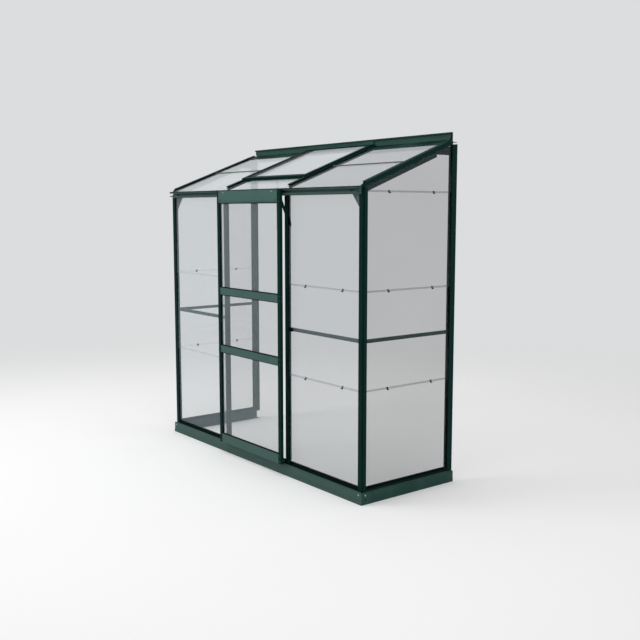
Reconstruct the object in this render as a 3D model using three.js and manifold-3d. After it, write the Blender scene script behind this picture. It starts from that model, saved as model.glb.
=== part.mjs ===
// Lean-to greenhouse in powder-coated aluminium and glass, with a hanging sliding door and a
// hinged roof vent. Millimetres, +Z up, +X to the right seen from the front, +Y to the wall.
// The origin is on the ground, in the middle of the whole depth and width.
// "out" is the distance from the wall, measured towards the front.

import * as THREE from 'three';
import { mergeVertices } from 'three/addons/utils/BufferGeometryUtils.js';
import Module from 'manifold-3d';

const wasm = await Module();
wasm.setup();

// Overall sizes
const baseWidth = 1922;
const baseDepth = 661;
const baseHeight = 60;
const frameSetback = 12;
const roofPitchDegrees = 20.86;
const eavesTop = 1592;
const eavesGlassSetback = 6;
const doorClearance = 19;
const fitGap = 0.3;
const cutOverrun = 5;
const fullTurn = 360;

// Base rails
const baseWall = 2.5;
const baseLipHeight = 18;
const baseLipProud = 1.5;
const baseTopFlange = 44;
const baseBottomFlange = 34;
const guideRibSetback = 3;
const guideRibThickness = 2.5;
const guideRibHeight = 6;

// Glazing bars, shared by uprights and rafters
const glassThickness = 3;
const capProud = 9.5;
const capWidth = 31;
const capThickness = 2;
const capCrown = 0.7;
const webThickness = 3;
const seatThickness = 2.5;
const channelWidth = 16;
const channelWall = 1.8;
const channelDepth = 9.5;
const channelSlot = 7;
const mullionSpacing = 624;

// Corner sections
const cornerLeg = 31;
const cornerCore = 17;
const cornerWall = 2.6;
const wallPostSeat = 48;
const wallPostCap = 35;
const wallPostCore = 20;
const cornerSideCap = 29;
const wallPostDrop = 64;
const rafterSideLeg = 23;
const rafterSideSeat = 31;
const rafterSkirt = 52;
const endRafterTopOut = 47;
const endRafterSetback = 31;
const middleRafterSetback = 31;
const rafterRidgeGap = 2;

// Sill rails
const sillSetback = 5;
const sillWall = 2.2;
const sillLipHeight = 11;
const sillSeatHeight = 25;
const sillFootWidth = 26;
const sillFootThickness = 2.5;

// Glass panes
const glassEdgeGap = 1;
const paneLap = 10;
const wallJointHeights = [571, 1070, 1563];
const roofJointRun = 342;

// Eaves bar and door track
const eavesFace = 39;
const eavesWeb = 2.7;
const eavesInset = 15;
const trackReach = 25;
const trackWall = 2.4;
const trackLipDrop = 11;
const trackFloorHeight = 7;
const trackBeadHeight = 3.5;
const trackRibOffset = 9;
const trackRibWidth = 2.4;
const trackRibHeight = 3;
const headSeatDrop = 10;
const rafterShelfReach = 35;
const stopInset = 64;
const stopLength = 12;
const stopDepth = 16;
const stopHeight = 14;

// Ridge bar
const ridgeUpstand = 46.2;
const ridgeInset = 34;
const ridgeDepth = 16;
const ridgeWall = 2.5;
const ridgeFaceHeight = 62;
const ridgeBackHeight = 62;
const ridgeCornerRun = 36;
const ridgeCornerRise = 33;
const ridgeSkirtReach = 66;
const ridgeSkirtThickness = 2.2;
const ridgeSkirtGap = 1.2;
const hingeBore = 3;
const hingeRing = 5;
const hingeSink = 0.5;
const hingeDrop = 6;
const ridgeFinReach = 14;
const ridgeTabDrop = 55.5;
const ridgeTabThickness = 2.5;
const ridgeTabInset = 10;
const ridgeTabReach = 30;
const ridgeTabDepth = 27;
const ridgeTabSetback = 1;
const hingeMouthStart = -22;
const hingeMouthEnd = -112;
const arcSteps = 14;

// Braces and gussets
const braceHeight = 19;
const braceMiddle = 827;
const braceThickness = 3;
const braceFlange = 10;
const braceEndGap = 3;
const sideBraceWallOut = 42;
const gussetThickness = 2.3;
const gussetWidth = 92;
const gussetHeight = 111;
const gussetTopOffset = 16;
const gussetTip = 4;
const wallGussetDrop = 58;
const wallGussetReach = 138;
const strutWidth = 18;
const strutThickness = 3;
const strutDrop = 165;
const strutRun = 106;
const strutTopDrop = 4;
const strutFootLift = 4;

// Door
const doorWidth = 640;
const doorBottomGap = 12;
const doorTopDrop = 6;
const doorDepth = 18;
const stileWidth = 25;
const stileCore = 12;
const doorWall = 2;
const doorGlassSetback = 8;
const doorGroove = 10;
const doorSeat = 2.5;
const topRailProud = 3;
const topRailStep = 0.5;
const topRailLip = 7;
const topRailOverlap = 4;
const topRailHeight = 69;
const topRailCore = 30;
const middleRailHeight = 41;
const upperRailBottom = 976;
const lowerRailBottom = 628;
const bottomRailHeight = 53;
const bottomRailStep = 2;
const guideInset = 50;
const guideLength = 40;
const guideDepth = 20;
const guideWallGap = 1.5;
const guideClearance = 0.8;

// Door rollers
const rollerInset = 75;
const rollerWidth = 9;
const rollerRim = 12;
const rollerGroove = 10.2;
const rollerGrooveWidth = 3.4;
const rollerBore = 3.3;
const axleRadius = 3;
const axleHeadRadius = 5;
const axleHeadThickness = 1.6;
const roundSides = 20;

// Roof vent
const ventWidth = 624;
const ventBottomRun = 147;
const ventRidgeGap = 2.6;
const ventClearance = 0.5;
const ventRailHeight = 9;
const ventRailWidth = 22;
const ventLedge = 9;
const ventLedgeThickness = 2.2;
const ventDripThickness = 2.5;
const ventDripGap = 1.5;
const ventBead = 2.7;
const ventNeck = 1.6;
const ventNeckDrop = 7;
const ventFlapThickness = 2.5;
const ventFlapDrop = 26;
const lugThickness = 2;
const lugDepth = 12;
const lugTip = 5;

// Slam bar and stay
const slamFootRun = 140;
const slamSeat = 10;
const slamDepth = 20;
const slamWall = 2.5;
const slamRise = 10.5;
const pegRadius = 2.8;
const pegHeight = 7;
const stayLength = 300;
const stayWidth = 15;
const stayThickness = 3;
const stayHoleRadius = 4;
const stayHoleCount = 5;
const stayHolePitch = 40;
const stayHoleInset = 12;
const stayPinReach = 6;
const stayPinHeight = 5;
const stayEye = 5;
const stayEyeBore = 3;
const stayPin = 2.7;
const stayGap = 0.5;

// Values worked out from the sizes above
const frameOut = baseDepth - frameSetback;
const frameHalf = baseWidth / 2 - frameSetback;
const doorBackOut = baseDepth + doorClearance;
const doorFrontOut = doorBackOut + doorDepth;
const wallY = (doorFrontOut + topRailProud) / 2;
const pitch = THREE.MathUtils.degToRad(roofPitchDegrees);
const capTop = glassThickness + capProud;
const capUnder = capTop - capThickness;
const seatBack = fitGap + seatThickness;
const barBack = seatBack + channelDepth;
const eavesGlassOut = baseDepth - eavesGlassSetback;
const mullionX = mullionSpacing / 2;
const lift = glassThickness + fitGap;
const eavesGlassHeight = eavesTop + fitGap;
const eavesBottom = eavesTop - eavesFace;
const doorTop = eavesTop - doorTopDrop;
const doorBottom = baseHeight + doorBottomGap;
const trackFloor = eavesBottom + trackFloorHeight + trackWall;
const rollerSpacing = doorWidth - rollerInset - rollerInset;
const guideSpacing = doorWidth - guideInset - guideInset;
const rollerHeight = trackFloor + trackRibHeight + fitGap + rollerGroove;

// Height of the roof plane, n above the underside of the roof glass, at a distance from the wall
function roofHeight(out, n) {
  return eavesGlassHeight + (eavesGlassOut - out) * Math.tan(pitch) + n / Math.cos(pitch);
}

const ridgeHeight = roofHeight(ridgeDepth, 0) + ridgeUpstand;
const wallPostTop = ridgeHeight - wallPostDrop;

// Distance up the slope of the point n above the glass underside that lies at a distance out
function roofRun(out, n) {
  return (eavesGlassOut - out + n * Math.sin(pitch)) / Math.cos(pitch);
}

const paint = { color: 0x2f5048, roughness: 0.42, metalness: 0.25 };
const glass = { color: 0xc6d4d8, roughness: 0.05, metalness: 0, transparent: true, opacity: 0.3 };
const nylon = { color: 0x23262a, roughness: 0.55, metalness: 0 };
const zinc = { color: 0x8d9294, roughness: 0.35, metalness: 0.9 };

// A named mesh with its own material
function piece(name, geometry, finish) {
  const mesh = new THREE.Mesh(geometry, new THREE.MeshStandardMaterial(finish));
  mesh.name = name;
  return mesh;
}

function value(size, u, v) {
  return typeof size === 'function' ? size(u, v) : size;
}

// Faces are turned over where a mapping mirrors the shape
function faceOut(geometry) {
  const position = geometry.attributes.position;
  const index = geometry.index.array;
  const corners = [new THREE.Vector3(), new THREE.Vector3(), new THREE.Vector3()];
  let volume = 0;
  for (let i = 0; i < index.length; i += 3) {
    corners.forEach((corner, k) => corner.fromBufferAttribute(position, index[i + k]));
    volume += corners[0].dot(corners[1].clone().cross(corners[2]));
  }
  if (volume < 0) {
    for (let i = 0; i < index.length; i += 3) {
      [index[i], index[i + 1]] = [index[i + 1], index[i]];
    }
  }
  return geometry;
}

// A bare closed mesh with shared corners
function closed(geometry) {
  const bare = geometry.clone();
  bare.deleteAttribute('normal');
  bare.deleteAttribute('uv');
  return mergeVertices(bare);
}

// An extrusion of a drawn section. start and end are lengths, or functions of the section's
// own coordinates where an end is mitred or slanted. place puts (u, v, w) in space.
function extrusion(section, start, end, place, holes = []) {
  const shape = new THREE.Shape(section.map(([u, v]) => new THREE.Vector2(u, v)));
  holes.forEach((hole) => {
    shape.holes.push(new THREE.Path(hole.map(([u, v]) => new THREE.Vector2(u, v))));
  });
  const unit = new THREE.ExtrudeGeometry(shape, { depth: 1, bevelEnabled: false });
  const geometry = closed(unit);
  const position = geometry.attributes.position;
  for (let i = 0; i < position.count; i += 1) {
    const u = position.getX(i);
    const v = position.getY(i);
    const w = position.getZ(i) < 0.5 ? value(start, u, v) : value(end, u, v);
    const [x, y, z] = place(u, v, w);
    position.setXYZ(i, x, y, z);
  }
  return faceOut(geometry);
}

const alongX = (out, z, x) => [x, wallY - out, z];
const alongZ = (x, out, z) => [x, wallY - out, z];
const alongSlope = (x, n, run) => [x, run, n];
const acrossSlope = (run, n, x) => [x, run, n];

function box(x0, x1, y0, y1, z0, z1) {
  const geometry = new THREE.BoxGeometry(x1 - x0, y1 - y0, z1 - z0);
  geometry.translate((x0 + x1) / 2, (y0 + y1) / 2, (z0 + z1) / 2);
  return closed(geometry);
}

// A box given by its distances from the wall
function wallBox(x0, x1, out0, out1, z0, z1) {
  return box(x0, x1, wallY - out1, wallY - out0, z0, z1);
}

function solid(geometry) {
  return new wasm.Manifold(new wasm.Mesh({
    numProp: 3,
    vertProperties: new Float32Array(geometry.attributes.position.array),
    triVerts: new Uint32Array(geometry.index.array),
  }));
}

function fromSolid(result) {
  const mesh = result.getMesh();
  const geometry = new THREE.BufferGeometry();
  geometry.setAttribute('position', new THREE.BufferAttribute(mesh.vertProperties, 3));
  geometry.setIndex(new THREE.BufferAttribute(mesh.triVerts, 1));
  return geometry;
}

function cut(geometry, ...tools) {
  return fromSolid(tools.reduce((body, tool) => body.subtract(solid(tool)), solid(geometry)));
}

function join(geometry, ...others) {
  return fromSolid(others.reduce((body, other) => body.add(solid(other)), solid(geometry)));
}

function mirrored(points) {
  return [...points, ...points.map(([u, v]) => [-u, v]).reverse()];
}

// Section of a glazing bar: crowned cap, web, glass seat and a bolt channel behind it.
// u runs across the bar, n out of the glass, and n is zero on the glass's inner face.
function capEdge() {
  const half = capWidth / 2;
  return [
    [half / 2, capTop],
    [half, capTop - capCrown],
    [half, capUnder],
  ];
}

function glazingBarSection() {
  const half = capWidth / 2;
  const channel = channelWidth / 2;
  const slot = channelSlot / 2;
  return mirrored([
    ...capEdge(),
    [webThickness / 2, capUnder],
    [webThickness / 2, -fitGap],
    [half, -fitGap],
    [half, -seatBack],
    [channel, -seatBack],
    [channel, -barBack],
    [slot, -barBack],
    [slot, channelWall - barBack],
    [channel - channelWall, channelWall - barBack],
    [channel - channelWall, -seatBack],
  ]);
}

// Section of a corner bar that glazes two planes. a and b run inwards from its two faces.
function cornerSection(capB, seatB) {
  const seatFront = capTop + fitGap;
  const seatRear = seatFront + seatThickness;
  return [
    [0, 0],
    [cornerLeg, 0],
    [cornerLeg, capThickness],
    [cornerCore, capThickness],
    [cornerCore, seatFront],
    [cornerLeg, seatFront],
    [cornerLeg, seatRear],
    [seatRear, seatRear],
    [seatRear, seatB],
    [seatFront, seatB],
    [seatFront, cornerCore],
    [capThickness, cornerCore],
    [capThickness, capB],
    [0, capB],
  ];
}

function cornerHole() {
  const near = cornerWall;
  const far = capTop + fitGap;
  return [[near, near], [far, near], [far, far], [near, far]];
}

function arc(centreU, centreV, radius, fromDegrees, toDegrees, steps) {
  return Array.from({ length: steps + 1 }, (_, i) => {
    const share = i / steps;
    const angle = THREE.MathUtils.degToRad(fromDegrees + (toDegrees - fromDegrees) * share);
    return [centreU + radius * Math.cos(angle), centreV + radius * Math.sin(angle)];
  });
}

function circle(centreU, centreV, radius, sides) {
  return arc(centreU, centreV, radius, 0, fullTurn, sides).slice(0, sides);
}

function rectangle(u0, u1, v0, v1) {
  return [[u0, v0], [u1, v0], [u1, v1], [u0, v1]];
}

// A round bar along the depth of the greenhouse, given by its distances from the wall
function rod(radius, x, out0, out1, z) {
  const geometry = new THREE.CylinderGeometry(radius, radius, out1 - out0, roundSides);
  geometry.translate(x, wallY - (out0 + out1) / 2, z);
  return closed(geometry);
}

// Placings of a drawn section: u inwards from a face, w along the bar
const frontRun = (face) => (u, v, w) => [w, wallY - face + u, v];
const sideRun = (side, face) => (u, v, w) => [side * (face - u), wallY - w, v];

// Base rails: lip, web and two flanges, mitred at the front corners
function baseSection(rib) {
  const web = baseLipProud + baseWall;
  return [
    [0, 0],
    [baseBottomFlange, 0],
    [baseBottomFlange, baseWall],
    [web, baseWall],
    [web, baseHeight - baseWall],
    [baseTopFlange, baseHeight - baseWall],
    [baseTopFlange, baseHeight],
    ...rib,
    [baseLipProud, baseHeight],
    [baseLipProud, baseLipHeight],
    [0, baseLipHeight],
  ];
}

function baseRails() {
  const half = baseWidth / 2;
  const ribBack = guideRibSetback + guideRibThickness;
  const rib = [
    [ribBack, baseHeight],
    [ribBack, baseHeight + guideRibHeight],
    [guideRibSetback, baseHeight + guideRibHeight],
    [guideRibSetback, baseHeight],
  ];
  const front = extrusion(baseSection(rib), (u) => u - half, (u) => half - u, frontRun(baseDepth));
  const sides = [-1, 1].map((side) => extrusion(
    baseSection([]),
    0,
    (u) => baseDepth - u - fitGap,
    sideRun(side, half),
  ));
  return [
    piece('base_front', front, paint),
    piece('base_left', sides[0], paint),
    piece('base_right', sides[1], paint),
  ];
}

// Sill rails: front lip, foot and an upstand behind the glass. Their outer part runs on
// behind the caps of the uprights, and the rest stops at the uprights' glass seats.
const sillBottom = baseHeight + fitGap;
const sillFloor = sillBottom + sillFootThickness;
const seatFront = capTop + fitGap;
const seatRear = seatFront + seatThickness;

function sillRail(place, outerStart, outerEnd, innerStart, innerEnd) {
  const lipBack = sillSetback + sillWall;
  const outer = [
    [sillSetback, sillBottom],
    [capTop, sillBottom],
    [capTop, sillFloor],
    [lipBack, sillFloor],
    [lipBack, baseHeight + sillLipHeight],
    [sillSetback, baseHeight + sillLipHeight],
  ];
  const inner = [
    [lipBack, sillBottom],
    [sillSetback + sillFootWidth, sillBottom],
    [sillSetback + sillFootWidth, sillFloor],
    [seatRear, sillFloor],
    [seatRear, baseHeight + sillSeatHeight],
    [seatFront, baseHeight + sillSeatHeight],
    [seatFront, sillFloor],
    [lipBack, sillFloor],
  ];
  return join(
    extrusion(outer, outerStart, outerEnd, place),
    extrusion(inner, innerStart, innerEnd, place),
  );
}

function sillRails() {
  const core = cornerCore + fitGap;
  const leg = cornerLeg + fitGap;
  const front = sillRail(
    frontRun(frameOut),
    core - frameHalf,
    frameHalf - core,
    leg - frameHalf,
    frameHalf - leg,
  );
  const sides = [-1, 1].map((side) => sillRail(
    sideRun(side, frameHalf),
    wallPostCore + fitGap,
    frameOut - core,
    wallPostSeat + fitGap,
    frameOut - leg,
  ));
  return [
    piece('sill_front', front, paint),
    piece('sill_left', sides[0], paint),
    piece('sill_right', sides[1], paint),
  ];
}

// Uprights
const rafterUnder = capTop - rafterSideSeat;
const postBottom = baseHeight + fitGap;

function cornerPost(side) {
  return extrusion(
    cornerSection(cornerSideCap, cornerLeg),
    postBottom,
    (a, b) => roofHeight(frameOut - b, rafterUnder) - fitGap,
    (a, b, z) => [side * (frameHalf - a), wallY - frameOut + b, z],
    [cornerHole()],
  );
}

// The wall post's top follows the underside of the rafter, and carries the rear gusset
function wallPost(side) {
  const under = (out) => Math.min(roofHeight(out, rafterUnder) - fitGap, wallPostTop);
  const section = [
    [0, 0],
    [cornerLeg, 0],
    [cornerLeg, seatThickness],
    [seatRear, seatThickness],
    [seatRear, wallPostSeat],
    [seatFront, wallPostSeat],
    [seatFront, wallPostCore],
    [capThickness, wallPostCore],
    [capThickness, wallPostCap],
    [0, wallPostCap],
  ];
  const hollow = rectangle(cornerWall, seatFront, cornerWall, wallPostCore - cornerWall);
  const place = (a, out, z) => [side * (frameHalf - a), wallY - out, z];
  const post = extrusion(section, postBottom, (a, out) => under(out), place, [hollow]);
  const plate = [
    [wallPostSeat - seatThickness, wallPostTop - wallGussetDrop],
    [wallGussetReach, wallPostTop - wallGussetDrop],
    [wallGussetReach, under(wallGussetReach)],
    [wallPostSeat - seatThickness, under(wallPostSeat - seatThickness)],
  ];
  const gusset = extrusion(
    plate,
    seatFront,
    seatRear,
    (out, z, a) => [side * (frameHalf - a), wallY - out, z],
  );
  return join(post, gusset);
}

const shelfTop = -barBack - fitGap;
const shelfUnder = shelfTop - seatThickness;
const headSeatFront = frameOut - seatFront;
const headSeatBottom = roofHeight(headSeatFront, shelfUnder) - headSeatDrop;

// The mullion's cap runs down in front of the sill, and the rest stops on top of it
function mullion(side) {
  const top = headSeatBottom - fitGap;
  const place = (u, n, z) => [side * mullionX + u, wallY - frameOut + capTop - n, z];
  return join(
    extrusion(glazingBarSection(), baseHeight + sillSeatHeight + fitGap, top, place),
    extrusion(mirrored(capEdge()), postBottom, top, place),
  );
}

function uprights() {
  return [
    piece('corner_post_left', cornerPost(-1), paint),
    piece('corner_post_right', cornerPost(1), paint),
    piece('wall_post_left', wallPost(-1), paint),
    piece('wall_post_right', wallPost(1), paint),
    piece('mullion_left', mullion(-1), paint),
    piece('mullion_right', mullion(1), paint),
  ];
}

// Eaves bar: door track in front, head seat for the glass and shelf for the rafters behind
function eavesBar() {
  const back = frameOut + fitGap;
  const web = back + eavesWeb;
  const lip = web + trackReach;
  const floor = trackFloor;
  const under = floor - trackWall;
  const rib = web + trackRibOffset;
  const shelfBack = back - rafterShelfReach;
  const seatBackOut = headSeatFront - seatThickness;
  const track = [
    [back, eavesBottom],
    [web, eavesBottom],
    [web, under],
    [lip, under],
    [lip, floor + trackBeadHeight],
    [lip - trackWall, floor + trackBeadHeight],
    [lip - trackWall, floor],
    [rib + trackRibWidth, floor],
    [rib + trackRibWidth, floor + trackRibHeight],
    [rib, floor + trackRibHeight],
    [rib, floor],
    [web, floor],
    [web, eavesTop - trackWall],
    [lip - trackWall, eavesTop - trackWall],
    [lip - trackWall, eavesTop - trackLipDrop],
    [lip, eavesTop - trackLipDrop],
    [lip, eavesTop],
    [back, eavesTop],
  ];
  const webMiddle = back + eavesWeb / 2;
  const shelf = [
    [webMiddle, roofHeight(webMiddle, shelfTop)],
    [shelfBack, roofHeight(shelfBack, shelfTop)],
    [shelfBack, roofHeight(shelfBack, shelfUnder)],
    [seatBackOut, roofHeight(seatBackOut, shelfUnder)],
    [seatBackOut, headSeatBottom],
    [headSeatFront, headSeatBottom],
    [headSeatFront, roofHeight(headSeatFront, shelfUnder)],
    [webMiddle, roofHeight(webMiddle, shelfUnder)],
  ];
  const half = frameHalf - eavesInset;
  const shelfHalf = frameHalf - cornerLeg - fitGap;
  const stops = [-1, 1].map((side) => {
    const ends = [side * (half - stopInset - stopLength), side * (half - stopInset)];
    const floorMiddle = under + trackWall / 2;
    return wallBox(
      Math.min(...ends),
      Math.max(...ends),
      webMiddle,
      webMiddle + stopDepth,
      floorMiddle,
      floorMiddle + stopHeight,
    );
  });
  const bar = join(
    extrusion(track, -half, half, alongX),
    extrusion(shelf, -shelfHalf, shelfHalf, alongX),
    ...stops,
  );
  return piece('eaves_bar', bar, paint);
}

// Ridge bar: wall flange, top, front flange with clipped ends, fin under the roof glass and
// a round groove in which the vent's bead turns
const hingeOut = ridgeDepth + hingeRing - hingeSink;
const hingeHeight = ridgeHeight - hingeDrop;
const finEnd = ridgeDepth + ridgeFinReach;

function ridgeBar() {
  const inner = ridgeDepth - ridgeWall;
  const frontBottom = ridgeHeight - ridgeFaceHeight;
  const clipTop = frontBottom + ridgeCornerRise;
  const section = [
    [0, ridgeHeight - ridgeBackHeight],
    [ridgeWall, ridgeHeight - ridgeBackHeight],
    [ridgeWall, ridgeHeight - ridgeWall],
    [inner, ridgeHeight - ridgeWall],
    [inner, frontBottom],
    [ridgeDepth, frontBottom],
    [ridgeDepth, roofHeight(ridgeDepth, -seatBack)],
    [finEnd, roofHeight(finEnd, -seatBack)],
    [finEnd, roofHeight(finEnd, -fitGap)],
    [ridgeDepth, roofHeight(ridgeDepth, -fitGap)],
    [ridgeDepth, ridgeHeight],
    [0, ridgeHeight],
  ];
  const half = frameHalf - ridgeInset;
  const bar = extrusion(section, -half, half, alongX);
  const wedge = [
    [half - ridgeCornerRun, frontBottom],
    [half - ridgeCornerRun, frontBottom - cutOverrun],
    [half + cutOverrun, frontBottom - cutOverrun],
    [half + cutOverrun, clipTop],
    [half, clipTop],
  ];
  const clips = [-1, 1].map((side) => extrusion(
    wedge,
    ridgeWall,
    finEnd + cutOverrun,
    (x, z, out) => [side * x, wallY - out, z],
  ));
  const turn = hingeMouthEnd + fullTurn;
  const ring = [
    ...arc(hingeOut, hingeHeight, hingeRing, hingeMouthStart, turn, arcSteps),
    ...arc(hingeOut, hingeHeight, hingeBore, turn, hingeMouthStart, arcSteps),
  ];
  const groove = extrusion(ring, -half, half, alongX);
  const tabs = [-1, 1].map((side) => {
    const ends = [side * (half - ridgeTabInset), side * (half + ridgeTabReach)];
    return wallBox(
      Math.min(...ends),
      Math.max(...ends),
      ridgeTabSetback,
      ridgeTabSetback + ridgeTabDepth,
      ridgeHeight - ridgeTabDrop,
      ridgeHeight - ridgeTabDrop + ridgeTabThickness,
    );
  });
  const skirtLine = (out, n) => [out, roofHeight(out, n)];
  const skirtBottom = glassThickness + ridgeSkirtGap;
  const skirtTop = skirtBottom + ridgeSkirtThickness;
  const skirtRoot = ridgeDepth - ridgeWall / 2;
  const skirtSection = [
    skirtLine(skirtRoot, skirtBottom),
    skirtLine(ridgeDepth + ridgeSkirtReach, skirtBottom),
    skirtLine(ridgeDepth + ridgeSkirtReach, skirtTop),
    skirtLine(skirtRoot, skirtTop),
  ];
  const skirts = [-1, 1].map((side) => {
    const ends = [
      side * (mullionX + capWidth / 2 + fitGap),
      side * (frameHalf - cornerLeg - fitGap),
    ];
    return extrusion(skirtSection, Math.min(...ends), Math.max(...ends), alongX);
  });
  return piece('ridge_bar', join(cut(bar, ...clips), groove, ...tabs, ...skirts), paint);
}

// End rafter, drawn in the roof's own frame. Its seat hangs down as a skirt between the
// corner post and the rear gusset.
function endRafter(side) {
  const place = (a, b, run) => [side * (frameHalf - a), run, capTop - b];
  const topEnd = (a, b) => roofRun(endRafterTopOut, capTop - b);
  const bar = extrusion(
    cornerSection(rafterSideLeg, rafterSideSeat),
    (a, b) => roofRun(b < capTop ? baseDepth - endRafterSetback : frameOut, capTop - b),
    topEnd,
    place,
    [cornerHole()],
  );
  const seatFront = capTop + fitGap;
  const skirt = extrusion(
    rectangle(seatFront, seatFront + seatThickness, rafterSideSeat - seatThickness, rafterSkirt),
    (a, b) => roofRun(frameOut - cornerLeg - fitGap, capTop - b),
    (a, b) => roofRun(wallGussetReach + fitGap, capTop - b),
    place,
  );
  return join(bar, skirt);
}

function middleRafter(side) {
  const top = (u, n) => roofRun(n > 0 ? ridgeDepth + rafterRidgeGap : finEnd + fitGap, n);
  return extrusion(
    glazingBarSection(),
    roofRun(baseDepth - middleRafterSetback, capTop),
    top,
    (u, n, run) => alongSlope(side * mullionX + u, n, run),
  );
}

// Slam bar: seat for the lower middle pane, upstand, and a peg for the stay
function slamBar() {
  const seatEnd = slamFootRun + slamSeat;
  const section = [
    [slamFootRun, -seatBack],
    [slamFootRun + slamDepth, -seatBack],
    [slamFootRun + slamDepth, -fitGap],
    [seatEnd + slamWall, -fitGap],
    [seatEnd + slamWall, slamRise],
    [seatEnd, slamRise],
    [seatEnd, -fitGap],
    [slamFootRun, -fitGap],
  ];
  const half = mullionX - capWidth / 2 - fitGap;
  const bar = extrusion(section, -half, half, acrossSlope);
  const pegRun = (seatEnd + slamWall + slamFootRun + slamDepth) / 2;
  const peg = extrusion(
    circle(0, pegRun, pegRadius, arcSteps),
    -seatBack / 2,
    pegHeight - fitGap,
    (x, run, n) => [x, run, n],
  );
  return piece('vent_slam_bar', join(bar, peg), paint);
}

// A pane of glass in a plane. Its lower edge is lifted where it laps over the pane below.
function pane(name, outline, lifted, place) {
  const heights = outline.map(([, v]) => v);
  const low = Math.min(...heights);
  const high = Math.max(...heights);
  const back = (u, v) => (lifted ? lift * (high - v) / (high - low) : 0);
  const front = (u, v) => back(u, v) + glassThickness;
  return piece(name, extrusion(outline, back, front, place), glass);
}

// The heights of the panes in a stack: each runs up behind the next one by the lap
function stack(bottom, joints, top) {
  const lows = [bottom, ...joints];
  return lows.map((low, i) => [low, i < joints.length ? joints[i] + paneLap : top]);
}

const bayInner = mullionX + webThickness / 2 + glassEdgeGap;
const bayOuter = frameHalf - cornerCore - glassEdgeGap;
const paneBottom = sillFloor + fitGap;

function frontPanes(side, label) {
  const face = frameOut - capTop;
  const top = roofHeight(face + glassThickness, shelfUnder) - glassEdgeGap;
  const place = (u, v, w) => [side * u, wallY - face - w, v];
  return stack(paneBottom, wallJointHeights.slice(0, 2), top).map(([low, high], i) => pane(
    `pane_front_${label}_${i + 1}`,
    rectangle(bayInner, bayOuter, low, high),
    i > 0,
    place,
  ));
}

function endPanes(side, label) {
  const rear = wallPostCore + glassEdgeGap;
  const fore = frameOut - cornerCore - glassEdgeGap;
  const slope = (out) => roofHeight(Math.max(out, endRafterTopOut), capTop - cornerCore)
    - glassEdgeGap / Math.cos(pitch);
  const place = (u, v, w) => [side * (frameHalf - capTop + w), wallY - u, v];
  const name = (i) => `pane_end_${label}_${i + 1}`;
  const last = wallJointHeights.length;
  const panes = stack(paneBottom, wallJointHeights, 0).slice(0, last);
  const top = [
    [rear, wallJointHeights[last - 1]],
    [fore, wallJointHeights[last - 1]],
    [fore, slope(fore)],
    [endRafterTopOut, slope(endRafterTopOut)],
    [rear, slope(rear)],
  ];
  return [
    ...panes.map(([low, high], i) => pane(name(i), rectangle(rear, fore, low, high), i > 0, place)),
    pane(name(last), top, true, place),
  ];
}

const roofPaneTop = roofRun(ridgeDepth + rafterRidgeGap, 0);

function roofPanes(side, label) {
  const place = (u, v, w) => [side * u, v, w];
  return stack(0, [roofJointRun], roofPaneTop).map(([low, high], i) => pane(
    `pane_roof_${label}_${i + 1}`,
    rectangle(bayInner, bayOuter, low, high),
    i > 0,
    place,
  ));
}

function roofMiddlePane() {
  const half = mullionX - webThickness / 2 - glassEdgeGap;
  const outline = rectangle(-half, half, 0, slamFootRun + slamSeat - glassEdgeGap);
  return pane('pane_roof_middle', outline, false, alongPane);
}

function alongPane(u, v, w) {
  return [u, v, w];
}

// Braces half-way up, behind the glass seats
const braceFront = seatRear + fitGap;

function braceSection() {
  const low = braceMiddle - braceHeight / 2;
  const high = braceMiddle + braceHeight / 2;
  return [
    [braceFront, low],
    [braceFront + braceThickness, low],
    [braceFront + braceThickness, high - braceThickness],
    [braceFront + braceFlange, high - braceThickness],
    [braceFront + braceFlange, high],
    [braceFront, high],
  ];
}

function braces() {
  const inner = mullionX + channelWidth / 2 + glassEdgeGap;
  const outer = frameHalf - braceFront - braceFlange - braceEndGap;
  const fore = frameOut - seatRear - braceEndGap;
  const along = (side) => (u, v, w) => [side * w, wallY - frameOut + u, v];
  const front = (side) => extrusion(braceSection(), inner, outer, along(side));
  const end = (side) => extrusion(
    braceSection(),
    sideBraceWallOut,
    fore,
    sideRun(side, frameHalf),
  );
  return [
    piece('brace_front_left', front(-1), paint),
    piece('brace_front_right', front(1), paint),
    piece('brace_end_left', end(-1), paint),
    piece('brace_end_right', end(1), paint),
  ];
}

// Flat corner gussets behind the glass, under the eaves bar
function cornerGusset(side) {
  const top = eavesBottom + gussetTopOffset;
  const start = seatRear + braceEndGap;
  const outline = [
    [start, top - gussetHeight],
    [start + gussetTip, top - gussetHeight],
    [start + gussetWidth, top - gussetTip],
    [start + gussetWidth, top],
    [start, top],
  ];
  return extrusion(
    outline,
    braceFront,
    braceFront + gussetThickness,
    (a, z, e) => [side * (frameHalf - a), wallY - frameOut + e, z],
  );
}

// Diagonal flat bar from the back of the right mullion up to the eaves bar
function doorCornerBrace() {
  const foot = [mullionX, eavesBottom - strutDrop + strutFootLift];
  const head = [mullionX - strutRun, roofHeight(frameOut, shelfUnder) - strutTopDrop];
  const angle = THREE.MathUtils.radToDeg(Math.atan2(head[1] - foot[1], head[0] - foot[0]));
  const outline = [
    ...arc(foot[0], foot[1], strutWidth / 2, angle + 90, angle + 270, arcSteps / 2),
    ...arc(head[0], head[1] - strutWidth / 2, strutWidth / 2, angle - 90, angle + 90, arcSteps / 2),
  ];
  const behind = capTop + barBack + fitGap;
  return extrusion(
    outline,
    behind,
    behind + strutThickness,
    (x, z, e) => [x, wallY - frameOut + e, z],
  );
}

// Sliding door. d runs back from the front face of the stiles.
const doorHalf = doorWidth / 2;
const doorSeatFront = doorGlassSetback + glassThickness + fitGap;
const doorSeatRear = doorSeatFront + doorSeat;
const railHalf = doorHalf - stileWidth - fitGap;
const doorRun = (d, z, x) => [x, wallY - doorFrontOut + d, z];

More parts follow.
